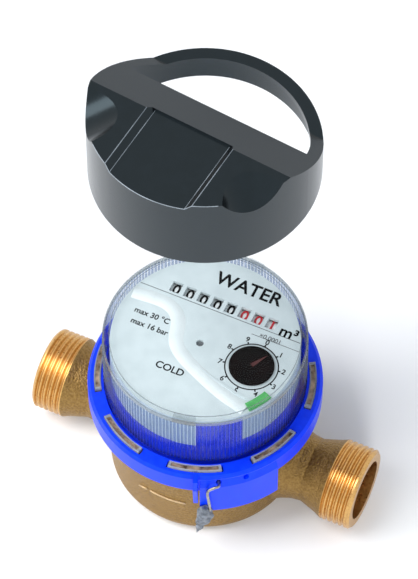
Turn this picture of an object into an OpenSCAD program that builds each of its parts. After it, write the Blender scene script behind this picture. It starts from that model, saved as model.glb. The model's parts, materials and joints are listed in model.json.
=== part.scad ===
// Single-jet dry-dial water meter with a clip-on communication module.
// Millimetres. Origin: centre of the flat underside, +Z up the dial axis, +X from inlet to outlet.

/* [Pipe] */
// Distance between the two port faces
overall_length = 110; // [100:1:130]
// Height of the pipe axis above the underside
pipe_height = 14; // [13.5:0.1:15]
// Outer diameter of the port spigots
port_d = 26.44; // [24:0.02:27]
// Length of the spigot that takes the coupling nut
port_length = 10; // [8:0.5:12]
// Bore of the port mouth
mouth_d = 19.4; // [17:0.1:20]

/* [Body] */
// Outer diameter of the cast cup
body_d = 60.2; // [59:0.1:61]
// Height of the cup rim
body_top = 40; // [39:0.5:44]
// Wall of the cup
body_wall = 4.6; // [4:0.1:5]

/* [Clamp ring] */
// Outer diameter of the clamp ring
ring_d = 73.2; // [72.8:0.1:76]
// Height of the ring
ring_height = 7.5; // [7.2:0.1:9]
// Angle of one ring slot
slot_angle = 30; // [24:1:34]

/* [Register] */
// Outer diameter of the clear dome
dome_d = 62.8; // [62.6:0.1:63]
// Height of the whole meter without its module
meter_height = 68.7; // [67:0.1:74]
// Wall of the clear dome
dome_wall = 1.5; // [1.2:0.1:1.6]
// Distance between neighbouring number wheels
wheel_pitch = 4.61; // [4.5:0.01:4.8]
// Diameter of the pointer disc
disc_d = 14; // [12:0.5:15]

/* [Module] */
// Height of the module
module_height = 28; // [26:0.5:32]
// How far the module hovers above its seat
module_lift = 99; // [60:1:120]
// Turn of the module about the dial axis
module_turn = -6.3; // [-10:0.1:10]

/* [Hidden] */
$fn = 72;

half = overall_length / 2;
body_r = body_d / 2;
port_r = port_d / 2;
mouth_r = mouth_d / 2;
neck_r = port_r - 2.8;
flare_r = pipe_height - 0.8;
duct_r = mouth_r - 2;
floor_z = 4.5;
chamber_r = body_r - body_wall;
seat_r = chamber_r + 2.8;
seat_z = body_top - 9;
ring_r = ring_d / 2;
ring_bore_r = ring_r - 1.4;
flange_r = ring_bore_r - 0.3;
flange_z = body_top - 1.7;
ring_bottom = flange_z - 1.3;
ring_top = ring_bottom + ring_height;
ring_plate_z = body_top + 2.1;
dome_r = dome_d / 2;
ring_hole_r = dome_r + 0.3;
ring_band = ring_r - ring_hole_r;
slot_in = ring_hole_r + ring_band / 7;
slot_out = ring_hole_r + ring_band * 30 / 49;
foot_in = slot_in + (slot_out - slot_in) * 7 / 46;
foot_out = slot_out - (slot_out - slot_in) * 6 / 23;
slot_first = -71;
slot_count = 8;
slot_step = 360 / slot_count;
dome_in = dome_r - dome_wall;
dome_roof = meter_height - 1.6;
dial_top = dome_roof - 1.3;
dial_z = dial_top - 1.3;
shell_r = dome_in - 0.5;
shell_in = shell_r - 1.4;
collar_z = body_top + 12;
base_z = seat_z + 5.4;
base_floor = 1.6;
magnet_z = base_z + base_floor + 0.8;
magnet_h = 3;
magnet_r = 5;
hub_bottom = floor_z + 1;
hub_top = floor_z + 18;
vane_h = 13.5;
vane_t = 1.6;
vane_r = chamber_r - 4.5;
gear_h = 3;
gear_gap = 1;
plate_h = 1.5;
pin_r = 1;
run = 0.04;

wheel_r = 5;
wheel_y = 13.8;
wheel_z = dial_z - 0.3 - wheel_r;
wheel_w = wheel_pitch - 0.6;
wheel_span = 7 * wheel_pitch;
cheek_t = 1.5;
cheek_x = wheel_span / 2 + wheel_pitch / 2 + 1;

// The free height between magnet and wheels is shared out above and below the gears
gear_share = 32 / 69;
free_height = wheel_z - wheel_r - magnet_z - magnet_h - gear_h - gear_gap - plate_h;
gear_z = magnet_z + magnet_h + free_height * gear_share;
plate_z = gear_z + gear_h + gear_gap;

pointer_at = [16.9, -3];
pinion_teeth = 28;
gear_teeth = 18;
gear_module = 2 * norm(pointer_at) / (pinion_teeth + gear_teeth);

mod_r = dome_r + 2.35;
mod_skirt = dome_r + 0.35;
mod_lip = dome_r - 1.4;
lip_z = 8.8;
low_z = 10.8;
chord_y = 7.1;
mod_z = meter_height - lip_z + module_lift;
slope_y = -8.3;
cavity_y = 1;
cavity_top = module_height - 8.2;
board_z = low_z + 1.2;
board_top = board_z + 1.4;
battery_r = (cavity_top - board_top - 0.4) / 2;
battery_l = 24;
antenna_h = cavity_top - board_top - 1.4;
antenna_l = 20;
slope_end = slope_y + (module_height - low_z) * 1.547;

// Helpers shared by several pieces
module tube(r_out, r_in, z0, z1) {
  difference() {
    translate([0, 0, z0]) cylinder(r = r_out, h = z1 - z0);
    translate([0, 0, z0 - 1]) cylinder(r = r_in, h = z1 - z0 + 2);
  }
}

module arc_block(r_in, r_out, z0, z1, a0, a1) {
  rotate([0, 0, a0])
    rotate_extrude(angle = a1 - a0)
      translate([r_in, z0]) square([r_out - r_in, z1 - z0]);
}

module rod(p, q, r) {
  v = q - p;
  len = norm(v);
  translate(p)
    rotate([0, acos(v[2] / len), atan2(v[1], v[0])])
      cylinder(r = r, h = len, $fn = 20);
}

function polar(r, a, z) = [r * cos(a), r * sin(a), z];

module spur(teeth, height) {
  pitch_r = gear_module * teeth / 2;
  tip = pitch_r + gear_module * 0.85;
  root = pitch_r - gear_module * 1.15;
  step = 360 / teeth;
  linear_extrude(height = height)
    polygon([for (i = [0 : teeth - 1], k = [0 : 3])
      let (a = step * (i + [-0.27, -0.1, 0.1, 0.27][k]), r = k == 0 || k == 3 ? root : tip)
        [r * cos(a), r * sin(a)]]);
}

// Cast cup with its two ports
module port_outside() {
  rotate([0, 90, 0])
    rotate_extrude()
      polygon([[0, chamber_r - 3], [flare_r, chamber_r - 3], [flare_r, body_r - 2],
               [neck_r + 1.3, body_r + 1], [neck_r + 0.3, body_r + 4], [neck_r, body_r + 7],
               [port_r - 1, half - port_length - 2.2], [port_r, half - port_length],
               [port_r, half - 0.8], [port_r - 0.8, half], [0, half]]);
}

module port_inside() {
  translate([chamber_r - 4, 0, 0]) rotate([0, 90, 0]) cylinder(r = duct_r, h = half - chamber_r);
  translate([half - port_length + 0.5, 0, 0]) rotate([0, 90, 0]) cylinder(r = mouth_r, h = port_length);
}

module meter_body() {
  color("peru")
    difference() {
      union() {
        rotate_extrude()
          polygon(concat([[0, 0]],
            [for (a = [-90 : 15 : 0]) [body_r - 5 + 5 * cos(a), 5 + 5 * sin(a)]],
            [[body_r, flange_z], [flange_r, flange_z], [flange_r, body_top], [0, body_top]]));
        for (s = [0, 180])
          rotate([0, 0, s]) translate([0, 0, pipe_height]) port_outside();
      }
      translate([0, 0, floor_z]) cylinder(r = chamber_r, h = body_top);
      translate([0, 0, seat_z]) cylinder(r = seat_r, h = body_top);
      translate([0, 0, floor_z - 2]) cylinder(r = pin_r, h = 4);
      for (s = [0, 180])
        rotate([0, 0, s]) translate([0, 0, pipe_height]) port_inside();
    }
}

module inlet_strainer() {
  color("dimgray")
    translate([-half + port_length - 2.1, 0, pipe_height])
      rotate([0, 90, 0])
        difference() {
          cylinder(r = mouth_r - 0.05, h = 1.6);
          for (i = [-3 : 3])
            translate([i * 2.2 - 0.7, -mouth_r + 2.4 + abs(i) * 0.7, -1])
              cube([1.4, 2 * mouth_r - 4.8 - abs(i) * 1.4, 4]);
        }
}

module pivot_pin() {
  color("silver")
    translate([0, 0, floor_z - 2]) cylinder(r = pin_r, h = seat_z - floor_z - 3);
}

module impeller() {
  color("white")
    difference() {
      union() {
        translate([0, 0, hub_bottom]) cylinder(r = magnet_r, h = hub_top - hub_bottom);
        for (i = [0 : 6])
          rotate([0, 0, i * 360 / 7])
            translate([magnet_r - 1, -vane_t / 2, hub_bottom + 1.5])
              cube([vane_r - magnet_r + 1, vane_t, vane_h]);
      }
      cylinder(r = pin_r + run, h = body_top);
    }
}

module drive_magnet() {
  color("darkslategray")
    tube(magnet_r, pin_r + 0.5, hub_top, hub_top + magnet_h);
}

module chamber_plate() {
  color("lightgray")
    difference() {
      union() {
        translate([0, 0, seat_z]) cylinder(r = seat_r - 0.1, h = 3);
        translate([0, 0, seat_z - 2.5]) cylinder(r = chamber_r - 0.1, h = 3);
      }
      translate([0, 0, seat_z - 3]) cylinder(r = pin_r + 1, h = 2.6);
    }
}

module chamber_seal() {
  color("black")
    translate([0, 0, seat_z + 4.2])
      rotate_extrude() translate([seat_r - 1.35, 0]) circle(r = 1.2, $fn = 32);
}

// Clamp ring with its slots, apron and sealing eye
fin_at = -70;

module clamp_ring() {
  color("blue")
    difference() {
      union() {
        rotate_extrude()
          polygon([[ring_hole_r, ring_plate_z], [ring_hole_r, ring_top], [ring_r - 0.9, ring_top],
                   [ring_r, ring_top - 0.9], [ring_r, ring_bottom], [body_r + 0.3, ring_bottom],
                   [body_r + 0.3, flange_z - 0.1], [ring_bore_r, flange_z - 0.1],
                   [ring_bore_r, ring_plate_z]]);
        rotate([0, 0, -68])
          rotate_extrude(angle = 39)
            polygon([[ring_r - 0.7, ring_bottom - 10], [ring_r + 1.1, ring_bottom - 10],
                     [ring_r + 1.1, ring_top - 4], [ring_r - 0.4, ring_top - 0.4],
                     [ring_r - 0.7, ring_top - 0.4]]);
        rotate([0, 0, fin_at])
          translate([0, 0.7, 0])
            rotate([90, 0, 0])
              linear_extrude(height = 1.4)
                polygon([[ring_r - 0.6, ring_bottom - 7], [ring_r + 0.4, ring_bottom - 7],
                         [ring_r + 3, ring_top - 3], [ring_r + 2.4, ring_top + 1],
                         [ring_r - 0.6, ring_top + 1]]);
      }
      for (k = [0 : slot_count - 1])
        rotate([0, 0, slot_first + slot_step * k - slot_angle / 2])
          rotate_extrude(angle = slot_angle)
            translate([slot_in, ring_plate_z - 0.1]) square([slot_out - slot_in, ring_height]);
      for (a = [-59, -45.6])
        rotate([0, 0, a])
          translate([ring_r - 0.6, 0, ring_top - 2.2]) rotate([0, 90, 0]) cylinder(r = 0.9, h = 5, $fn = 24);
      rotate([0, 0, fin_at])
        translate([ring_r + 1.2, 3, ring_top - 2.2]) rotate([90, 0, 0]) cylinder(r = 0.9, h = 6, $fn = 24);
    }
}

// Register below the dial
module register_base() {
  color("royalblue")
    difference() {
      union() {
        translate([0, 0, base_z]) cylinder(r = seat_r - 0.1, h = body_top - base_z);
        translate([0, 0, body_top]) cylinder(r = flange_r, h = 1);
        translate([0, 0, body_top]) cylinder(r = shell_r, h = collar_z - body_top);
        arc_block(shell_in + 0.2, shell_r - 0.2, collar_z - 1, dial_z - 0.5, -85, -50);
      }
      translate([0, 0, base_z + base_floor]) cylinder(r = seat_r - 1.9, h = body_top);
      translate([0, 0, body_top + 1]) cylinder(r = shell_in, h = body_top);
      for (p = [[0, 0], pointer_at])
        translate([p[0], p[1], base_z + 0.5]) cylinder(r = pin_r + run, h = 4);
    }
}

module register_frame() {
  color("white")
    difference() {
      union() {
        tube(shell_r, shell_in, collar_z, dial_z);
        tube(shell_r, shell_in - 1.2, dial_z - 1.5, dial_z);
      }
      arc_block(shell_in - 3, shell_r + 2, collar_z - 1, dial_z + 1, -85.6, -49.4);
    }
}

module gear_plate() {
  color("gainsboro")
    difference() {
      union() {
        translate([0, 0, plate_z]) cylinder(r = shell_in - 0.3, h = plate_h);
        for (a = [30, 150, 250])
          translate(polar(shell_in - 5, a, base_z + base_floor))
            cylinder(r = 1.8, h = plate_z - base_z - base_floor);
        for (s = [-1, 1])
          translate([s * cheek_x - cheek_t / 2, wheel_y - wheel_r / 2, plate_z + plate_h])
            cube([cheek_t, wheel_r, wheel_z + 2.2 - plate_z - plate_h]);
      }
      for (p = [[0, 0], pointer_at])
        translate([p[0], p[1], plate_z - 1]) cylinder(r = pin_r + run, h = 4);
      translate([-shell_r, wheel_y, wheel_z]) rotate([0, 90, 0]) cylinder(r = pin_r, h = 2 * shell_r);
    }
}

module follower_magnet() {
  color("darkslategray")
    tube(magnet_r, pin_r, magnet_z, magnet_z + magnet_h);
}

module follower_pinion() {
  color("khaki") {
    translate([0, 0, gear_z]) rotate([0, 0, atan2(pointer_at[1], pointer_at[0])]) spur(pinion_teeth, gear_h);
    translate([0, 0, base_z + 0.6]) cylinder(r = pin_r, h = plate_z + 3 - base_z - 0.6);
  }
}

module pointer_gear() {
  color("khaki")
    translate([pointer_at[0], pointer_at[1], gear_z + 0.3])
      difference() {
        rotate([0, 0, atan2(pointer_at[1], pointer_at[0]) + 180 + 180 / gear_teeth]) spur(gear_teeth, 2.4);
        translate([0, 0, -1]) cylinder(r = pin_r, h = 5);
      }
}

module pointer_arbor() {
  color("silver")
    translate([pointer_at[0], pointer_at[1], base_z + 0.6])
      cylinder(r = pin_r, h = dial_top + 0.3 - base_z - 0.6);
}

module pointer_disc() {
  color("black")
    translate([pointer_at[0], pointer_at[1], dial_top + 0.3]) cylinder(r = disc_d / 2, h = 0.6);
}

module roller_shaft() {
  color("silver")
    translate([-cheek_x - cheek_t / 2, wheel_y, wheel_z])
      rotate([0, 90, 0]) cylinder(r = pin_r, h = 2 * cheek_x + cheek_t);
}

module number_wheel(i) {
  translate([(i - 4.5) * wheel_pitch - wheel_w / 2, wheel_y, wheel_z])
    rotate([0, 90, 0])
      difference() {
        cylinder(r = wheel_r, h = wheel_w);
        translate([0, 0, -1]) cylinder(r = pin_r + run, h = wheel_w + 2);
        for (s = [-1, 1])
          translate([0, 0, wheel_w / 2 + s * (wheel_w / 2)]) rotate([0, s < 0 ? 180 : 0, 0])
            translate([0, 0, -0.5]) tube(3.8, 2, 0, 1);
      }
}

module number_wheel_1() { color("black") number_wheel(1); }
module number_wheel_2() { color("black") number_wheel(2); }
module number_wheel_3() { color("black") number_wheel(3); }
module number_wheel_4() { color("black") number_wheel(4); }
module number_wheel_5() { color("black") number_wheel(5); }
module number_wheel_6() { color("red") number_wheel(6); }
module number_wheel_7() { color("red") number_wheel(7); }
module number_wheel_8() { color("red") number_wheel(8); }

// Dial with its windows and raised line
ridge = [[-26.4, 7.3], [-16.6, 7.3], [-10.9, 3.7], [-8, -4], [-3.6, -7.6], [6, -11.3], [16, -13.6],
         [22, -14.2]];

module ridge_line() {
  for (i = [0 : len(ridge) - 2])
    let (v = ridge[i + 1] - ridge[i]) {
      translate(ridge[i]) rotate(atan2(v[1], v[0])) translate([0, -0.35]) square([norm(v), 0.7]);
      translate(ridge[i]) circle(r = 0.45, $fn = 16);
    }
}

module dial_plate() {
  color("whitesmoke")
    difference() {
      union() {
        translate([0, 0, dial_z]) cylinder(r = shell_r - 0.1, h = dial_top - dial_z);
        translate([0, 0, dial_top - 0.1]) linear_extrude(height = 0.4) ridge_line();
      }
      for (i = [1 : 8])
        translate([(i - 4.5) * wheel_pitch - 1.65, wheel_y - 1.95, dial_z - 1]) cube([3.3, 3.9, 5]);
      translate([pointer_at[0], pointer_at[1], dial_z - 1]) cylinder(r = pin_r + 0.4, h = 5);
      translate([-1, -1.7, dial_top - 0.8]) cylinder(r = 1.2, h = 3);
    }
}

module dial_tab() {
  color("mediumseagreen")
    arc_block(shell_r - 3.2, shell_r - 0.4, dial_top, dial_top + 0.8, -38, -22);
}

// Clear dome held by the clamp ring
module dome_cover() {
  color("lightcyan", 0.4)
    union() {
      rotate_extrude()
        polygon([[dome_in, body_top + 1], [flange_r, body_top + 1], [flange_r, ring_plate_z],
                 [dome_r, ring_plate_z], [dome_r, meter_height - 0.8], [dome_r - 0.8, meter_height],
                 [0, meter_height], [0, dome_roof], [dome_in, dome_roof]]);
      for (k = [0 : slot_count - 1])
        let (mid = slot_first + slot_step * k, side = slot_angle / 2 - 2)
          arc_block(foot_in, foot_out, ring_plate_z - 0.5, ring_top + 0.4, mid - side, mid + side);
    }
}

// Tamper seal on the front of the ring
seal_at = -64;
seal_r = ring_r + 2.5;

module seal_wire() {
  color("silver") {
    p0 = polar(ring_r - 0.5, -59, ring_top - 2.2);
    p1 = polar(ring_r + 2.6, -59, ring_top - 2.2);
    p2 = polar(ring_r + 2.6, -60, ring_bottom - 1);
    p3 = polar(seal_r, seal_at, ring_bottom - 6.6);
    rod(p0, p1, 0.45);
    rod(p1, p2, 0.45);
    rod(p2, p3, 0.45);
    for (p = [p1, p2]) translate(p) sphere(r = 0.55, $fn = 20);
  }
}

module lead_seal() {
  color("gray")
    rotate([0, 0, seal_at])
      translate([seal_r, 0, 0])
        difference() {
          rotate([90, 0, 90])
            translate([0, 0, -1.1])
              linear_extrude(height = 2.2) {
                translate([-2.2, ring_bottom - 20]) square([4.4, 14]);
                translate([0, ring_bottom - 20]) circle(r = 2.2, $fn = 32);
                translate([-1, ring_bottom - 25]) square([2, 5]);
              }
          translate([0, 0, ring_bottom - 6.6]) cylinder(r = 0.8, h = 2, $fn = 24);
        }
}

// Clip-on module
module seat_module() {
  translate([0, 0, mod_z]) rotate([0, 0, module_turn]) children();
}

module scoops() {
  for (a = [-90 - 55, -90 + 55])
    rotate([0, 0, a])
      translate([mod_r, 0, module_height + 8.3])
        rotate([0, -56, 0])
          translate([0, 0, -25]) cylinder(r = 12, h = 50);
}

module wedge(y_front, y_end, z_low, z_top, y_top) {
  rotate([90, 0, 90])
    translate([0, 0, -mod_r])
      linear_extrude(height = 2 * mod_r)
        polygon([[y_front, 0], [-y_front, 0], [-y_front, z_low], [y_end, z_low], [y_top, z_top],
                 [y_front, z_top]]);
}

module module_housing() {
  color("black")
    seat_module()
      difference() {
        intersection() {
          cylinder(r = mod_r, h = module_height);
          wedge(-mod_r - 1, slope_end, low_z, module_height, slope_y);
        }
        translate([0, 0, -1]) cylinder(r = mod_skirt, h = lip_z + 1);
        intersection() {
          cylinder(r = mod_lip, h = module_height);
          translate([-mod_r, chord_y, 0]) cube([2 * mod_r, mod_r, module_height]);
        }
        d_plate(mod_r - 2.4, cavity_y, lip_z - 0.1, cavity_top);
        scoops();
        translate([0, slope_y + 1.5, 0])
          rotate([90, 0, 0])
            linear_extrude(height = mod_r)
              polygon([[-12.2, module_height - 1.9], [12.2, module_height - 1.9],
                       [14.2, module_height + 0.1], [-14.2, module_height + 0.1]]);
      }
}

module d_plate(r, y, z0, z1) {
  intersection() {
    translate([0, 0, z0]) cylinder(r = r, h = z1 - z0);
    translate([-mod_r, -mod_r, z0]) cube([2 * mod_r, mod_r + y, z1 - z0]);
  }
}

module module_base_plate() {
  color("black")
    seat_module() {
      d_plate(mod_r - 2.5, cavity_y - 0.1, lip_z + 0.4, low_z);
      for (p = [[-20, -12], [20, -12], [-20, -3], [20, -3]])
        translate([p[0], p[1], low_z - 0.5]) cylinder(r = 1.5, h = 1.7);
    }
}

module circuit_board() {
  color("darkgreen")
    seat_module() d_plate(mod_r - 4, cavity_y - 1.5, board_z, board_top);
}

module battery() {
  color("silver")
    seat_module()
      translate([-battery_l / 2, -8, board_top + battery_r])
        rotate([0, 90, 0]) cylinder(r = battery_r, h = battery_l);
}

module antenna() {
  color("goldenrod")
    seat_module()
      translate([-antenna_l / 2, -22, board_top]) cube([antenna_l, 3, antenna_h]);
}

meter_body();
inlet_strainer();
pivot_pin();
impeller();
drive_magnet();
chamber_plate();
chamber_seal();
clamp_ring();
register_base();
register_frame();
gear_plate();
follower_magnet();
follower_pinion();
pointer_gear();
pointer_arbor();
pointer_disc();
roller_shaft();
number_wheel_1();
number_wheel_2();
number_wheel_3();
number_wheel_4();
number_wheel_5();
number_wheel_6();
number_wheel_7();
number_wheel_8();
dial_plate();
dial_tab();
dome_cover();
seal_wire();
lead_seal();
module_housing();
module_base_plate();
circuit_board();
battery();
antenna();
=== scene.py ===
# %% [markdown]
# A water meter in cells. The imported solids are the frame: they give every piece its place and
# its movement. This file dresses them, so nothing below moves a solid or changes its mesh.
# Where a piece needs finer shape, a new mesh is made beside the solid and takes its place.

# %% Load the frame
import json
import math
import bmesh
import bpy
from mathutils import Matrix, Vector


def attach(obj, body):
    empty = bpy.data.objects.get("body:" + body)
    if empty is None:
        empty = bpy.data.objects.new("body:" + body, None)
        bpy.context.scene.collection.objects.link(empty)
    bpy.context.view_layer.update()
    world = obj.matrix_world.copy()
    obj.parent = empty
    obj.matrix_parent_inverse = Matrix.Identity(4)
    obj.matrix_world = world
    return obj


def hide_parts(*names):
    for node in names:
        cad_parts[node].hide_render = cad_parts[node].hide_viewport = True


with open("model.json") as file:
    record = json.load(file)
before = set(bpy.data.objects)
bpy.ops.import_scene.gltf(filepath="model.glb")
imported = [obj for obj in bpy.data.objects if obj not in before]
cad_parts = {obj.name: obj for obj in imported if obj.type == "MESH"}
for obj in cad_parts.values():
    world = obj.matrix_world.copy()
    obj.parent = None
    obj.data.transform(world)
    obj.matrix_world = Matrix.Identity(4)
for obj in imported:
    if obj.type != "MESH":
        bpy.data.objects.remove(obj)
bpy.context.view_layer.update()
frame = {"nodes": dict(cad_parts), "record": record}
nodes = frame["nodes"]
MM = 0.001

# %% [markdown]
# The camera comes first, because every later choice is judged through it. A long lens from
# more than a metre away keeps the ellipses of dial and ring nearly parallel, as a product
# photographer would have it. The place was fitted to the port faces, the dial and the rings.

# %% Camera
CAMERA_AT, AIM_AT = (0.27519, -0.59898, 1.09777), (0.00126, 0, 0.09468)
LENS, SENSOR = 248.7, 36
scene = bpy.context.scene
cam_data = bpy.data.cameras.new("camera")
cam_data.lens = LENS
cam_data.sensor_width = SENSOR
cam = bpy.data.objects.new("camera", cam_data)
scene.collection.objects.link(cam)
cam.location = CAMERA_AT
aim = Vector(AIM_AT) - cam.location
cam.rotation_euler = aim.to_track_quat("-Z", "Y").to_euler()
scene.camera = cam
scene.view_settings.view_transform = "Standard"
print("camera distance (m):", round(aim.length, 3))

# %% [markdown]
# The floor is a plain pale sheet and the world is white to the camera, and to the rays that
# reflect or pass through, so that metal and clear plastic show the same white studio. A world
# that lit the scene at full strength would wash the dial out, so the rays that only light the
# scene see a darker grey.

# %% World and floor
ROOM_TINT, ROOM_LIGHT = (0.86, 0.92, 1, 1), 0.62
FLOOR_SIZE, FLOOR_Z_GAP = 6, 0.0004
world = bpy.data.worlds.new("studio")
scene.world = world
world.use_nodes = True
wt = world.node_tree
wt.nodes.clear()
w_out = wt.nodes.new("ShaderNodeOutputWorld")
path = wt.nodes.new("ShaderNodeLightPath")
seen = wt.nodes.new("ShaderNodeBackground")
seen.inputs[0].default_value = (1, 1, 1, 1)
seen.inputs[1].default_value = 1.0
felt = wt.nodes.new("ShaderNodeBackground")
felt.inputs[0].default_value = ROOM_TINT
felt.inputs[1].default_value = ROOM_LIGHT
both = wt.nodes.new("ShaderNodeMath")
both.operation = "MAXIMUM"
wt.links.new(path.outputs["Is Camera Ray"], both.inputs[0])
wt.links.new(path.outputs["Is Glossy Ray"], both.inputs[1])
every = wt.nodes.new("ShaderNodeMath")
every.operation = "MAXIMUM"
wt.links.new(both.outputs[0], every.inputs[0])
wt.links.new(path.outputs["Is Transmission Ray"], every.inputs[1])
pick = wt.nodes.new("ShaderNodeMixShader")
wt.links.new(every.outputs[0], pick.inputs[0])
wt.links.new(felt.outputs[0], pick.inputs[1])
wt.links.new(seen.outputs[0], pick.inputs[2])
wt.links.new(pick.outputs[0], w_out.inputs[0])

bpy.ops.mesh.primitive_plane_add(size=FLOOR_SIZE, location=(0, 0, -FLOOR_Z_GAP))
floor = bpy.context.object
floor.name = "floor"
print("floor at z =", floor.location.z)

# %% [markdown]
# Three soft boxes: a wide one overhead, one from the left for the long highlight on the ring
# and the ports, and a small one from the right that fills the shadow side. The last one is hidden
# from reflections, because seen from behind it would lie on the flat tops as a white sheet.

# %% Lights
def soft_box(name, place, target, size, power):
    data = bpy.data.lights.new(name, "AREA")
    data.shape = "RECTANGLE"
    data.size, data.size_y = size
    data.energy = power
    box = bpy.data.objects.new(name, data)
    scene.collection.objects.link(box)
    box.location = place
    box.rotation_euler = (Vector(target) - Vector(place)).to_track_quat("-Z", "Y").to_euler()
    return box

soft_box("overhead", (-0.45, -0.4, 1.25), (0, 0, 0.05), (0.7, 0.7), 11)
soft_box("left", (-0.9, -0.5, 0.5), (0, 0, 0.06), (0.5, 0.7), 5)
fill_box = soft_box("right", (0.6, -0.9, 0.45), (0, 0, 0.1), (0.25, 0.5), 7)
fill_box.visible_glossy = False
print("lights: 3")

# %% [markdown]
# Every finish is procedural. One helper makes a principled shader whose colour wanders between
# two tones and whose surface carries a fine bump, because no moulded or cast surface is one
# flat colour. The scale is counts per metre, since the model is in metres. Shine is the share of
# plain mirror, which ink and dull plastic have little of.

# %% Finish helper
RAMP_LOW, RAMP_HIGH = 0.35, 0.65
BUMP_HEIGHT = 0.0004
NOISE_DETAIL = 5

def finish(name, dark, light, rough, metal=0.0, scale=400, bump=0.1, spread=0.1, shine=0.5):
    mat = bpy.data.materials.new(name)
    mat.use_nodes = True
    nt = mat.node_tree
    bsdf = nt.nodes["Principled BSDF"]
    coord = nt.nodes.new("ShaderNodeTexCoord")
    noise = nt.nodes.new("ShaderNodeTexNoise")
    noise.inputs["Scale"].default_value = scale
    noise.inputs["Detail"].default_value = NOISE_DETAIL
    nt.links.new(coord.outputs["Object"], noise.inputs["Vector"])
    ramp = nt.nodes.new("ShaderNodeValToRGB")
    ramp.color_ramp.elements[0].position = RAMP_LOW
    ramp.color_ramp.elements[0].color = (*dark, 1)
    ramp.color_ramp.elements[1].position = RAMP_HIGH
    ramp.color_ramp.elements[1].color = (*light, 1)
    nt.links.new(noise.outputs["Fac"], ramp.inputs[0])
    nt.links.new(ramp.outputs[0], bsdf.inputs["Base Color"])
    span = nt.nodes.new("ShaderNodeMapRange")
    span.inputs["To Min"].default_value = max(rough - spread, 0.02)
    span.inputs["To Max"].default_value = rough + spread
    nt.links.new(noise.outputs["Fac"], span.inputs["Value"])
    nt.links.new(span.outputs[0], bsdf.inputs["Roughness"])
    bsdf.inputs["Metallic"].default_value = metal
    bsdf.inputs["Specular IOR Level"].default_value = shine
    bumper = nt.nodes.new("ShaderNodeBump")
    bumper.inputs["Strength"].default_value = bump
    bumper.inputs["Distance"].default_value = BUMP_HEIGHT
    nt.links.new(noise.outputs["Fac"], bumper.inputs["Height"])
    nt.links.new(bumper.outputs[0], bsdf.inputs["Normal"])
    return mat

pale = finish("floor", (0.93, 0.93, 0.93), (0.96, 0.96, 0.96), 0.8, scale=4, bump=0)
floor.data.materials.append(pale)
print("finish helper ready")

# %% [markdown]
# The clear cover is thin, so light goes nearly straight through it. A transparent shader mixed
# with a mirror shows the dial undistorted and still catches the soft boxes; a full refraction
# shader would bend the dial and darken it for no gain. The share of mirror grows with the
# facing angle, because the Fresnel node would count the back faces as total reflection.

# %% Clear finish
HAZE_COLOUR, HAZE_SCALE = (0.9, 0.95, 1, 1), 150
HAZE_LEAST, HAZE_MOST = 0.6, 1.4
MIRROR_FRONT, MIRROR_EDGE, MIRROR_POWER = 0.003, 0.45, 3.5

def clear(name, tint, gloss_rough, whiteness):
    mat = bpy.data.materials.new(name)
    mat.use_nodes = True
    nt = mat.node_tree
    nt.nodes.clear()
    out = nt.nodes.new("ShaderNodeOutputMaterial")
    through = nt.nodes.new("ShaderNodeBsdfTransparent")
    through.inputs[0].default_value = (*tint, 1)
    haze = nt.nodes.new("ShaderNodeBsdfDiffuse")
    haze.inputs[0].default_value = HAZE_COLOUR
    veil = nt.nodes.new("ShaderNodeMixShader")
    coord = nt.nodes.new("ShaderNodeTexCoord")
    noise = nt.nodes.new("ShaderNodeTexNoise")
    noise.inputs["Scale"].default_value = HAZE_SCALE
    nt.links.new(coord.outputs["Object"], noise.inputs["Vector"])
    span = nt.nodes.new("ShaderNodeMapRange")
    span.inputs["To Min"].default_value = whiteness * HAZE_LEAST
    span.inputs["To Max"].default_value = whiteness * HAZE_MOST
    nt.links.new(noise.outputs["Fac"], span.inputs["Value"])
    nt.links.new(span.outputs[0], veil.inputs[0])
    nt.links.new(through.outputs[0], veil.inputs[1])
    nt.links.new(haze.outputs[0], veil.inputs[2])
    mirror = nt.nodes.new("ShaderNodeBsdfGlossy")
    mirror.inputs["Roughness"].default_value = gloss_rough
    edge = nt.nodes.new("ShaderNodeLayerWeight")
    edge.inputs[0].default_value = 0.5
    steep = nt.nodes.new("ShaderNodeMath")
    steep.operation = "POWER"
    steep.inputs[1].default_value = MIRROR_POWER
    nt.links.new(edge.outputs["Facing"], steep.inputs[0])
    law = nt.nodes.new("ShaderNodeMapRange")
    law.inputs["To Min"].default_value = MIRROR_FRONT
    law.inputs["To Max"].default_value = MIRROR_EDGE
    nt.links.new(steep.outputs[0], law.inputs["Value"])
    mix = nt.nodes.new("ShaderNodeMixShader")
    nt.links.new(law.outputs[0], mix.inputs[0])
    nt.links.new(veil.outputs[0], mix.inputs[1])
    nt.links.new(mirror.outputs[0], mix.inputs[2])
    nt.links.new(mix.outputs[0], out.inputs[0])
    return mat

print("clear finish ready")

# %% [markdown]
# The finishes by slot. Brass is warm and rough where it was cast; the blue ring and the black
# module are glossy mouldings, the module with a blue gleam; the dial is matt white. Inner pieces
# get finishes too, because a reader may hide the cover and look inside.

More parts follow.
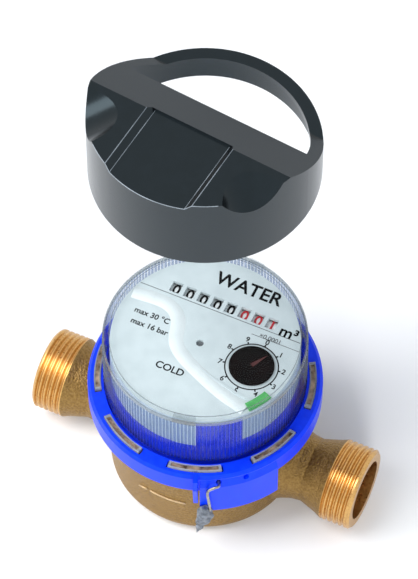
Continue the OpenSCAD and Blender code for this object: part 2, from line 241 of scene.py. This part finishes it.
# %% Finishes by slot
BLUE_GLEAM = (0.66, 0.88, 1.0, 1)
FINISH = {
    "brass": finish("cast_brass", (0.22, 0.125, 0.033), (0.35, 0.215, 0.066),
                    rough=0.42, metal=0.8, scale=1500, bump=0.9),
    "blue": finish("blue_plastic", (0.001, 0.036, 0.82), (0.002, 0.046, 0.90),
                   rough=0.34, scale=500, bump=0.01, spread=0.1, shine=0.2),
    "clear": clear("clear_cover", (0.97, 0.98, 0.98), 0.04, 0.0015),
    "white": finish("dial_white", (0.60, 0.67, 0.69), (0.66, 0.73, 0.75),
                    rough=0.5, scale=200, bump=0.03),
    "dark_plastic": finish("black_gloss", (0.0012, 0.0016, 0.002), (0.0022, 0.003, 0.004),
                           rough=0.22, scale=300, bump=0.0, spread=0.02, shine=0.42),
    "wheel_black": finish("wheel_pale", (0.90, 0.92, 0.92), (0.95, 0.96, 0.96),
                          rough=0.5, scale=600, bump=0.03),
    "wheel_red": finish("wheel_pale_red", (0.92, 0.91, 0.91), (0.96, 0.95, 0.95),
                        rough=0.5, scale=600, bump=0.03),
    "disc": finish("disc_black", (0.001, 0.0008, 0.0008), (0.004, 0.0015, 0.0015),
                   rough=0.8, scale=220, bump=0.02, spread=0.1, shine=0.05),
    "green": finish("green_plastic", (0.06, 0.36, 0.09), (0.10, 0.46, 0.13),
                    rough=0.4, scale=500, bump=0.05),
    "lead": finish("lead", (0.09, 0.105, 0.125), (0.24, 0.265, 0.30),
                   rough=0.5, metal=0.6, scale=700, bump=0.8),
    "steel": finish("steel", (0.28, 0.26, 0.23), (0.44, 0.42, 0.38),
                    rough=0.3, metal=1.0, scale=900, bump=0.1),
    "rubber": finish("rubber", (0.01, 0.01, 0.01), (0.02, 0.02, 0.02),
                     rough=0.7, scale=700, bump=0.2),
    "gear": finish("gear", (0.58, 0.53, 0.36), (0.66, 0.61, 0.45),
                   rough=0.5, scale=500, bump=0.05),
    "magnet": finish("magnet", (0.02, 0.02, 0.022), (0.05, 0.05, 0.055),
                     rough=0.5, metal=0.6, scale=900, bump=0.3),
    "board": finish("board", (0.01, 0.09, 0.03), (0.02, 0.14, 0.05),
                    rough=0.3, scale=900, bump=0.1),
    "inner_plastic": finish("inner_plastic", (0.42, 0.43, 0.44), (0.52, 0.53, 0.54),
                            rough=0.5, scale=400, bump=0.05),
}
black = FINISH["dark_plastic"].node_tree.nodes["Principled BSDF"]
black.inputs["Specular Tint"].default_value = BLUE_GLEAM
for part in frame["record"]["subparts"]:
    obj = nodes[part["node"]]
    obj.data.materials.clear()
    obj.data.materials.append(FINISH[part["material_slot"]])
print("finishes:", len(FINISH))

# %% [markdown]
# New pieces all pass through one helper. It builds the mesh, gives it a finish, taken from its
# slot unless one is passed, and ties it to the body it moves with.

# %% Piece helper
def piece(name, verts, faces, body, slot, mat=None, smooth=False):
    mesh = bpy.data.meshes.new(name)
    mesh.from_pydata(verts, [], faces)
    mesh.update()
    mesh.materials.append(mat or FINISH[slot])
    if smooth:
        mesh.shade_smooth()
    obj = bpy.data.objects.new(name, mesh)
    scene.collection.objects.link(obj)
    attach(obj, body)
    return obj

print("piece helper ready")

# %% [markdown]
# The spigots carry a pipe thread, fourteen turns to the inch. The solid has a plain cylinder
# at the crest radius. A copy of the body's mesh loses that wall, and a lathe-like grid whose
# radius follows a helix closes the gap. The machined wall is brighter than the casting.

# %% Threads
THREAD_R = 13.22
THREAD_PITCH = 1.814
THREAD_DEPTH = 0.8
THREAD_SPAN = (45.0, 54.2)
THREAD_FADE = 0.06
GROOVE_TOP, GROOVE_SLOPE = 1.3, 3.4
PIPE_Z = 14.0
ON_WALL, END_SLACK, MACHINED_FROM = 0.04, 0.05, 44.9
machined = finish("machined_brass", (0.58, 0.33, 0.11), (0.68, 0.41, 0.15),
                  rough=0.3, metal=1.0, scale=1200, bump=0.04)

def thread_wall(side):
    around, along = 96, 110
    verts, faces = [], []
    for i in range(along + 1):
        t = i / along
        x = THREAD_SPAN[0] + t * (THREAD_SPAN[1] - THREAD_SPAN[0])
        fade = min(1, t / THREAD_FADE, (1 - t) / THREAD_FADE)
        for j in range(around):
            a = 2 * math.pi * j / around
            phase = (x / THREAD_PITCH + j / around) % 1
            groove = min(1, max(0, GROOVE_TOP - abs(phase - 0.5) * GROOVE_SLOPE))
            r = THREAD_R - THREAD_DEPTH * groove * fade
            y, z = side * r * math.cos(a), PIPE_Z + r * math.sin(a)
            verts.append((side * x * MM, y * MM, z * MM))
    for i in range(along):
        for j in range(around):
            k = (j + 1) % around
            faces.append((i * around + j, i * around + k, (i + 1) * around + k, (i + 1) * around + j))
    name = "thread_out" if side > 0 else "thread_in"
    return piece(name, verts, faces, "meter", "brass", machined, True)

thread_wall(1)
thread_wall(-1)

body_mesh = nodes["meter_body"].data.copy()
bm = bmesh.new()
bm.from_mesh(body_mesh)
to_row = nodes["meter_body"].matrix_world

def on_thread_wall(p):
    from_wall = math.hypot(p.y, p.z - PIPE_Z * MM) - THREAD_R * MM
    in_span = THREAD_SPAN[0] - END_SLACK < abs(p.x) / MM < THREAD_SPAN[1] + END_SLACK
    return abs(from_wall) < ON_WALL * MM and in_span

wall = [face for face in bm.faces if all(on_thread_wall(to_row @ v.co) for v in face.verts)]
bmesh.ops.delete(bm, geom=wall, context="FACES")
bm.to_mesh(body_mesh)
bm.free()
casting = bpy.data.objects.new("casting", body_mesh)
scene.collection.objects.link(casting)
casting.matrix_world = to_row
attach(casting, "meter")
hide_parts("meter_body")
body_mesh.materials.append(machined)
for poly in body_mesh.polygons:
    if abs((to_row @ poly.center).x) > MACHINED_FROM * MM:
        poly.material_index = 1
print("thread faces cut from the copy:", len(wall))

# %% [markdown]
# The dome's side is finely ribbed, which hides the works and gives a grip. The ribs are small
# prisms on the outside of the smooth cover, one mesh for all of them.

# %% Dome ribs
RIBS = 170
RIB_R, RIB_HEIGHT, RIB_SHARE = 31.38, 0.3, 0.8
RIB_Z = (46.6, 66.6)
verts, faces = [], []
for i in range(RIBS):
    a = 2 * math.pi * i / RIBS
    half = math.pi / RIBS * RIB_SHARE
    base = len(verts)
    for z in RIB_Z:
        for r, b in ((RIB_R, a - half), (RIB_R + RIB_HEIGHT, a), (RIB_R, a + half)):
            verts.append((r * math.cos(b) * MM, r * math.sin(b) * MM, z * MM))
    faces += [(base, base + 1, base + 4, base + 3), (base + 1, base + 2, base + 5, base + 4),
              (base, base + 2, base + 1), (base + 3, base + 4, base + 5)]
rib_clear = clear("clear_ribs", (0.42, 0.49, 0.64), 0.1, 0.012)
piece("dome_ribs", verts, faces, "meter", "clear", rib_clear)
print("ribs:", RIBS)

# %% [markdown]
# Printing. The dial keeps only generic marks: digits, the unit and a scale. Each mark is a text
# object turned into flat faces a hair above the surface, so it needs no image and no decal.

# %% Printing helper
STROKE_SHARE, LETTER_STEPS = 0.02, 4
INK = finish("ink_black", (0.002, 0.002, 0.003), (0.006, 0.006, 0.007),
             rough=0.7, scale=900, bump=0, shine=0.05)
INK_RED = finish("ink_red", (0.55, 0.01, 0.02), (0.68, 0.02, 0.04), 0.5, scale=900, bump=0)
# The grey ink prints the factor and the rules, and is also painted shade on the dimple's floor.
GREY_INK_AND_SHADE = finish("grey_ink_and_shade", (0.1, 0.11, 0.12), (0.16, 0.17, 0.18), 0.5, scale=900, bump=0)

def print_marks(name, marks, body, slot, mat):
    verts, faces = [], []
    for words, size, place in marks:
        curve = bpy.data.curves.new("mark", "FONT")
        curve.body = words
        curve.size = size * MM
        curve.align_x = "CENTER"
        curve.align_y = "CENTER"
        curve.resolution_u = LETTER_STEPS
        curve.offset = size * MM * STROKE_SHARE
        text = bpy.data.objects.new("mark", curve)
        scene.collection.objects.link(text)
        bpy.context.view_layer.update()
        flat = text.evaluated_get(bpy.context.evaluated_depsgraph_get()).to_mesh()
        base = len(verts)
        verts += [tuple(place @ v.co) for v in flat.vertices]
        faces += [tuple(base + k for k in p.vertices) for p in flat.polygons]
        bpy.data.objects.remove(text)
        bpy.data.curves.remove(curve)
    return piece(name, verts, faces, body, slot, mat)

def at(x, y, z, turn=0.0):
    return Matrix.Translation((x * MM, y * MM, z * MM)) @ Matrix.Rotation(math.radians(turn), 4, "Z")

print("printing helper ready")

# %% [markdown]
# Ten digits run round each number wheel, a tenth of a turn apart. The reading is all noughts
# with a one at the right, and the three right-hand wheels are red because they count fractions.

# %% Number wheels
WHEEL_Y, WHEEL_Z, WHEEL_R, WHEEL_PITCH = 13.8, 59.2, 5.0, 4.61
READING = [0, 0, 0, 0, 0, 0, 0, 1]
BLACK_WHEELS, DIGIT_SIZE, INK_LIFT = 5, 5.0, 0.05
DIGIT_STEP = 360 / 10
MIDDLE = (len(READING) - 1) / 2
for i in range(len(READING)):
    marks = []
    for digit in range(10):
        roll = math.radians(DIGIT_STEP * (digit - READING[i]))
        place = (Matrix.Translation(((i - MIDDLE) * WHEEL_PITCH * MM, WHEEL_Y * MM, WHEEL_Z * MM))
                 @ Matrix.Rotation(roll, 4, "X")
                 @ Matrix.Translation((0, 0, (WHEEL_R + INK_LIFT) * MM)))
        marks.append((str(digit), DIGIT_SIZE, place))
    slot, ink = ("wheel_black", INK) if i < BLACK_WHEELS else ("wheel_red", INK_RED)
    print_marks("digits_%d" % (i + 1), marks, "wheel_%d" % (i + 1), slot, ink)
print("wheels printed:", len(READING))

# %% [markdown]
# The small scale has ten numbered marks round the dark disc. Its ring is a thin band of quads.

# %% Pointer scale
DIAL_Z = 65.83
DISC_AT = (16.9, -3.0)
SCALE_R, SCALE_LINE, TICK, TICK_HALF = 8.0, 0.4, 1.0, 1.6
NUMBER_R, NUMBER_SIZE = 9.9, 2.5
NOUGHT_AT, MARKS, ROUND_STEPS = 85, 10, 72

def disc_point(r, turn, z=DIAL_Z):
    a = math.radians(turn)
    return ((DISC_AT[0] + r * math.cos(a)) * MM, (DISC_AT[1] + r * math.sin(a)) * MM, z * MM)

def band(r0, r1, a0, a1, steps):
    verts, faces = [], []
    for k in range(steps + 1):
        turn = a0 + (a1 - a0) * k / steps
        verts += [disc_point(r0, turn), disc_point(r1, turn)]
    for k in range(steps):
        faces.append((2 * k, 2 * k + 1, 2 * k + 3, 2 * k + 2))
    return verts, faces

verts, faces = band(SCALE_R, SCALE_R + SCALE_LINE, 0, 360, ROUND_STEPS)
turns = [NOUGHT_AT - 360 / MARKS * k for k in range(MARKS)]
for turn in turns:
    more, quads = band(SCALE_R, SCALE_R + TICK, turn - TICK_HALF, turn + TICK_HALF, 1)
    faces += [tuple(len(verts) + n for n in q) for q in quads]
    verts += more
piece("pointer_scale", verts, faces, "meter", "white", INK)
marks = []
for k, turn in enumerate(turns):
    marks.append((str(k), NUMBER_SIZE, Matrix.Translation(disc_point(NUMBER_R, turn))))
print_marks("pointer_numbers", marks, "meter", "white", INK)
print("scale marks:", MARKS)

# %% [markdown]
# A red hand on the disc lets the eye see it turn. It is a slim triangle on the disc's top.

# %% Disc hand
HAND_Z, HAND_TURN = 66.75, 60
HAND_LENGTH, HAND_HALF = 6.2, 0.7
hand = [disc_point(HAND_LENGTH, HAND_TURN, HAND_Z), disc_point(HAND_HALF, HAND_TURN + 90, HAND_Z),
        disc_point(HAND_HALF, HAND_TURN - 90, HAND_Z)]
dull_red = finish("dull_red", (0.05, 0.006, 0.006), (0.09, 0.01, 0.01), 0.5, scale=900, bump=0)
piece("disc_hand", hand, [(0, 1, 2)], "pointer", "disc", dull_red)
print("hand length (mm):", HAND_LENGTH)

# %% [markdown]
# The unit beside the wheels, the factor of the small scale, and two fine rules across the dial.

# %% Unit and rules
UNIT_SIZE, FACTOR_SIZE = 5.6, 2.2
RULES = ((10.9, -27, 27, 0.12), (7.9, 12, 28, 0.1))
print_marks("unit", [("m³", UNIT_SIZE, at(22.4, 12.6, DIAL_Z))], "meter", "white", INK)
print_marks("factor", [("×0,0001", FACTOR_SIZE, at(18.0, 8.5, DIAL_Z))], "meter", "white", GREY_INK_AND_SHADE)
verts, faces = [], []
for y, x0, x1, w in RULES:
    base = len(verts)
    corners = ((x0, -1), (x1, -1), (x1, 1), (x0, 1))
    verts += [(x * MM, (y + s * w) * MM, DIAL_Z * MM) for x, s in corners]
    faces.append((base, base + 1, base + 2, base + 3))
piece("rules", verts, faces, "meter", "white", GREY_INK_AND_SHADE)
print("rules:", len(RULES))

# %% [markdown]
# Near the middle of the dial is a small round dimple. It looks dark, because little light gets
# to its floor. The solid has the hole, and a dark disc on its floor is painted shade for that depth.

# %% Dial dimple
DIMPLE_AT, DIMPLE_R, DIMPLE_Z, DIMPLE_SIDES = (-1.0, -1.7), 1.15, 65.03, 24
verts = []
for k in range(DIMPLE_SIDES):
    a = 2 * math.pi * k / DIMPLE_SIDES
    verts.append(((DIMPLE_AT[0] + DIMPLE_R * math.cos(a)) * MM,
                  (DIMPLE_AT[1] + DIMPLE_R * math.sin(a)) * MM, DIMPLE_Z * MM))
# This disc is painted shade: the grey of the print laid on the dimple's floor.
piece("dimple_painted_shade", verts, [tuple(range(DIMPLE_SIDES))], "meter", "white", GREY_INK_AND_SHADE)
print("dimple radius (mm):", DIMPLE_R)

# %% [markdown]
# A dial needs words to look like a dial. These are generic: what flows, and two limits that any
# cold-water meter carries. They sit where a real face has its larger and smaller print.

# %% Dial words
BIG_WORD, FIELD_WORD, SMALL_WORD = 6.4, 3.4, 2.7
words = [("WATER", BIG_WORD, at(4.6, 22.4, DIAL_Z)),
         ("COLD", FIELD_WORD, at(-5.5, -14.0, DIAL_Z)),
         ("max 30 °C", SMALL_WORD, at(-18.5, 1.2, DIAL_Z)),
         ("max 16 bar", SMALL_WORD, at(-17.6, -2.8, DIAL_Z))]
print_marks("dial_words", words, "meter", "white", INK)
print("words:", len(words))

# %% [markdown]
# The dial is a moulding with a soft raised bank that runs in an S from the left rim to the right.
# A smooth curve through a few points carries a half-sine section, which shades like a moulded
# fillet; the solid has only a thin line there, and this bank covers it. Its white is lighter
# than the dial's: a painted highlight on the bank.

# %% Dial bank
BANK = [(-27.6, 6.9), (-16.6, 7.3), (-10.9, 3.7), (-8, -4), (-3.6, -8.2), (6, -12.8), (14, -15.8),
        (21.4, -17.6)]
BANK_STEPS, ACROSS = 8, 10
BANK_WIDTH, BANK_Z, BANK_RISE = 4.6, 65.8, 0.5

def smooth_path(points, steps):
    ends = [points[0]] + points + [points[-1]]
    path = []
    for i in range(len(points) - 1):
        p0, p1, p2, p3 = (Vector(q) for q in ends[i:i + 4])
        for k in range(steps):
            t = k / steps
            path.append(0.5 * (2 * p1 + (p2 - p0) * t + (2 * p0 - 5 * p1 + 4 * p2 - p3) * t * t
                               + (3 * p1 - p0 - 3 * p2 + p3) * t ** 3))
    return path + [Vector(points[-1])]

line = smooth_path(BANK, BANK_STEPS)
verts, faces = [], []
for i, spot in enumerate(line):
    along = (line[min(i + 1, len(line) - 1)] - line[max(i - 1, 0)]).normalized()
    side = Vector((-along.y, along.x))
    for k in range(ACROSS + 1):
        t = k / ACROSS
        q = spot + side * (t - 0.5) * BANK_WIDTH
        verts.append((q.x * MM, q.y * MM, (BANK_Z + BANK_RISE * math.sin(math.pi * t)) * MM))
for i in range(len(line) - 1):
    for k in range(ACROSS):
        n = i * (ACROSS + 1) + k
        faces.append((n, n + 1, n + ACROSS + 2, n + ACROSS + 1))
# The bank's white is lighter than the dial's white: painted highlight.
bank_painted_highlight = finish("bank_white_painted_highlight", (0.74, 0.79, 0.80), (0.80, 0.85, 0.86), 0.4, scale=200, bump=0.02)
piece("dial_bank", verts, faces, "meter", "white", bank_painted_highlight, True)
print("bank points:", len(line))

# %% [markdown]
# The tamper seal is a soft lead slug, squeezed by pliers round the wire's ends, so it is never
# straight. Rings of points are stacked down its length, flattened, pushed about by a few sine
# waves and drawn out to a thin tail of pressed lead. It takes the place of the plain solid.

# %% Lead seal
SEAL_ANGLE = math.radians(-65.5)
SEAL_R, SEAL_TOP, SEAL_LENGTH = 38.7, 30.6, 16.5
SEAL_WIDE, TAIL_WIDE, TAIL_END, TAIL_FROM = 2.5, 1.3, 0.15, 0.72
SEAL_LEAN, SEAL_INWARD = -2.6, 0.8
RINGS, SIDES = 28, 24
out = Vector((math.cos(SEAL_ANGLE), math.sin(SEAL_ANGLE), 0))
across = Vector((-out.y, out.x, 0))

def slug_width(t):
    if t < TAIL_FROM:
        return SEAL_WIDE * math.sin(math.pi * min(1, t * 1.25 + 0.08)) ** 0.6
    return TAIL_WIDE * (1 - t) / (1 - TAIL_FROM) + TAIL_END

verts, faces = [], []
for i in range(RINGS + 1):
    t = i / RINGS
    z = SEAL_TOP - SEAL_LENGTH * t
    wide = slug_width(t)
    thick = 0.55 * wide + 0.25
    lean = SEAL_LEAN * t * t
    for j in range(SIDES):
        a = 2 * math.pi * j / SIDES
        dent = 1 + 0.16 * math.sin(3 * a + 9 * t) + 0.1 * math.sin(5 * a - 17 * t)
        reach = SEAL_R - SEAL_INWARD * t + thick * dent * math.cos(a)
        p = out * reach + across * (lean + wide * dent * math.sin(a))
        verts.append((p.x * MM, p.y * MM, z * MM))
for i in range(RINGS):
    for j in range(SIDES):
        k = (j + 1) % SIDES
        faces.append((i * SIDES + j, (i + 1) * SIDES + j, (i + 1) * SIDES + k, i * SIDES + k))
faces += [tuple(range(SIDES)), tuple(RINGS * SIDES + SIDES - 1 - j for j in range(SIDES))]
seal = piece("seal_slug", verts, faces, "meter", "lead")
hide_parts("lead_seal")
print("seal length (mm):", SEAL_LENGTH)

# %% [markdown]
# The seal's wire comes out of its eye, bends over to the left and runs down into the slug. Soft
# wire bent by hand has no sharp corner, so a smooth curve through a few points carries a round
# section. The same sweep makes the raised line on the front of the casting, in a lighter brass
# that is partly wear and partly painted highlight.

# %% Wire and cast line
WIRE_R, LINE_R, TUBE_SIDES, WIRE_STEPS = 0.48, 0.35, 12, 6
SKEW = Vector((0.31, 0.17, 0.93))
WIRE = [(36.1, -59, 42.3), (38.6, -59.2, 42.9), (39.4, -61.2, 43.3), (39.5, -63.6, 42.2),
        (39.4, -64.4, 40), (39.2, -64, 36), (39, -63.4, 31), (38.8, -63.6, 28.6)]
BODY_R = 30.15
LINE_FROM, LINE_TURN, LINE_STEPS = -100.3, 23.3, 12
CAST_LINES = [[(BODY_R, -108.8, 15.75), (BODY_R, -105.5, 16.3), (BODY_R, -102.3, 16.85)],
              [(BODY_R, LINE_FROM + LINE_TURN * k / LINE_STEPS, 17.05) for k in range(LINE_STEPS + 1)]]

def polar(r, turn, z):
    return Vector((r * math.cos(math.radians(turn)), r * math.sin(math.radians(turn)), z))

def tube(points, r, sides, capped=True):
    verts, faces = [], []
    for i, p in enumerate(points):
        along = (points[min(i + 1, len(points) - 1)] - points[max(i - 1, 0)]).normalized()
        u = along.cross(SKEW).normalized()
        v = along.cross(u)
        for k in range(sides):
            a = 2 * math.pi * k / sides
            verts.append(tuple((p + (u * math.cos(a) + v * math.sin(a)) * r) * MM))
    for i in range(len(points) - 1):
        for k in range(sides):
            n, m = i * sides + k, i * sides + (k + 1) % sides
            faces.append((n, m, m + sides, n + sides))
    last = (len(points) - 1) * sides
    if capped:
        faces += [tuple(reversed(range(sides))), tuple(last + k for k in range(sides))]
    return verts, faces

wire_path = smooth_path([polar(*spot) for spot in WIRE], WIRE_STEPS)
wire = piece("bent_wire", *tube(wire_path, WIRE_R, TUBE_SIDES), "meter", "steel", None, True)
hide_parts("seal_wire")
# The raised line's lighter brass is partly wear and partly painted highlight.
wear_and_highlight = finish("worn_brass_and_painted_highlight", (0.50, 0.35, 0.18), (0.62, 0.45, 0.25),
              rough=0.45, metal=0.6, scale=1200, bump=0.1)
for number, spots in enumerate(CAST_LINES, 1):
    path = [polar(*spot) for spot in spots]
    piece("cast_line_%d" % number, *tube(path, LINE_R, TUBE_SIDES), "meter", "brass", wear_and_highlight, True)
print("wire length (mm):", round(sum((b - a).length for a, b in zip(wire_path, wire_path[1:])), 1))

# %% [markdown]
# The top of the dome ends in a smooth thick rim, seen edge-on as a grey line, and two small
# blocks at front and back take the module's clips. The clear feet of the dome stand in the
# slots of the ring like little trays. All are arcs with a square section, so one helper
# sweeps them.

# %% Rim, clips and feet
def arc(r0, r1, z0, z1, a0, a1, steps):
    verts, faces = [], []
    for k in range(steps + 1):
        a = math.radians(a0 + (a1 - a0) * k / steps)
        for r, z in ((r0, z0), (r1, z0), (r1, z1), (r0, z1)):
            verts.append((r * math.cos(a) * MM, r * math.sin(a) * MM, z * MM))
    for k in range(steps):
        for c in range(4):
            d = (c + 1) % 4
            faces.append((4 * k + c, 4 * k + d, 4 * k + 4 + d, 4 * k + 4 + c))
    faces += [(3, 2, 1, 0), tuple(4 * steps + c for c in range(4))]
    return verts, faces

def arcs(name, list_of_arcs, slot, mat):
    verts, faces = [], []
    for spec in list_of_arcs:
        more, quads = arc(*spec)
        faces += [tuple(len(verts) + n for n in q) for q in quads]
        verts += more
    return piece(name, verts, faces, "meter", slot, mat)

rim_clear = clear("rim_clear", (0.62, 0.65, 0.66), 0.08, 0.12)
clip_clear = clear("clip_clear", (0.88, 0.90, 0.91), 0.06, 0.05)
RIM_ARCS = [(31.05, 31.55, 66.7, 68.2, 0, 360, 120), (29.3, 29.55, 68.72, 68.9, 0, 360, 120)]
CLIP = (29.2, 31.5, 66.4, 68.85)
arcs("dome_rim", RIM_ARCS, "clear", rim_clear)
arcs("dome_clips", [(*CLIP, 79, 88, 4), (*CLIP, -84, -71, 5)], "clear", clip_clear)
SLOTS = [-71 + 45 * k for k in range(8)]
INNER, OUTER, BED = (32.5, 32.9), (34.2, 34.6), (32.9, 34.2)
FOOT_Z, BED_Z = (42.6, 45.3), (44.95, 45.0)
FOOT_HALF, BED_HALF, FOOT_STEPS = 14, 12.6, 10
feet, beds = [], []
for a in SLOTS:
    for wall_r in (INNER, OUTER):
        feet.append((*wall_r, *FOOT_Z, a - FOOT_HALF, a + FOOT_HALF, FOOT_STEPS))
    feet.append((*BED, *FOOT_Z, a - FOOT_HALF, a - BED_HALF, 1))
    feet.append((*BED, *FOOT_Z, a + BED_HALF, a + FOOT_HALF, 1))
    beds.append((*BED, *BED_Z, a - BED_HALF, a + BED_HALF, FOOT_STEPS))
foot_clear = clear("foot_clear", (0.82, 0.78, 0.74), 0.08, 0.24)
amber = finish("amber", (0.06, 0.035, 0.02), (0.38, 0.27, 0.18), 0.3, scale=420, bump=0)
arcs("dome_feet", feet, "clear", foot_clear)
arcs("dome_feet_beds", beds, "clear", amber)
print("feet:", len(SLOTS))

# %% [markdown]
# Behind the ribs a white panel and the blue collar share the front. Two thin skins move the
# colour border to where the real one has it.

# %% Collar skins
SKIN = (29.45, 29.55, 52, 64.4)
arcs("panel_skin", [(*SKIN, -86, -71, 8)], "white", None)
arcs("collar_skin", [(*SKIN, -50, -43, 5)], "blue", None)
print("skins: 2")

# %% [markdown]
# Moulded edges are never sharp: a small round catches the light as a thin bright line. A bevel
# modifier gives that on the ring without touching the solid's mesh.

# %% Soft ring edges
EDGE_ROUND, ROUND_PARTS, SHARP_FROM = 0.3, 3, 35
soft = nodes["clamp_ring"].modifiers.new("soft edge", "BEVEL")
soft.width = EDGE_ROUND * MM
soft.segments = ROUND_PARTS
soft.limit_method = "ANGLE"
soft.angle_limit = math.radians(SHARP_FROM)
print("ring bevel (mm):", EDGE_ROUND)

# %% [markdown]
# On the black module the same thin lines draw the recess in its top and the front rim. Its mesh
# has long thin triangles that a bevel would tear, so the lines are slim rods laid along the
# edges by the wire's helper, in a grey far lighter than the module: painted highlight. They are
# set out in the module's own frame, then turned and raised.

# %% Module edge lines
MODULE_Z, MODULE_TURN = 158.9, -6.3
MODULE = at(0, 0, MODULE_Z, MODULE_TURN)
MODULE_R = 33.75
TOP_Z, FLOOR_Z = 28.0, 26.1
TOP_X, FLOOR_X = 14.1, 12.2
TOP_Y, FLOOR_Y = -8.3, -6.9
EDGE_R, EDGE_SIDES, RIM_STEP, FRONT_STEPS = 0.13, 6, 0.9, 24

def rim_point(x, z):
    return Vector((x, -math.sqrt(MODULE_R ** 2 - x ** 2), z))

lines = []
for s in (-1, 1):
    top, floor_end = rim_point(s * TOP_X, TOP_Z), rim_point(s * FLOOR_X, FLOOR_Z)
    lines.append([Vector((s * TOP_X, TOP_Y, TOP_Z)), top, floor_end])
    lines.append([Vector((s * FLOOR_X, FLOOR_Y, FLOOR_Z)), floor_end])
    lines.append([rim_point(s * (TOP_X + k * RIM_STEP), TOP_Z) for k in range(8)])
front = [-FLOOR_X + 2 * FLOOR_X * k / FRONT_STEPS for k in range(FRONT_STEPS + 1)]
lines.append([rim_point(x, FLOOR_Z) for x in front])
verts, faces = [], []
for points in lines:
    more, quads = tube(points, EDGE_R, EDGE_SIDES, capped=False)
    faces += [tuple(len(verts) + n for n in q) for q in quads]
    verts += [tuple(MODULE @ Vector(v)) for v in more]
# The rods' light grey is painted highlight on the black module's edges.
painted_edge_highlight = finish("painted_edge_highlight", (0.10, 0.12, 0.14), (0.30, 0.34, 0.38), 0.3, scale=120, bump=0)
piece("module_edge_highlights", verts, faces, "module", "dark_plastic", painted_edge_highlight)
print("edge lines:", len(lines))
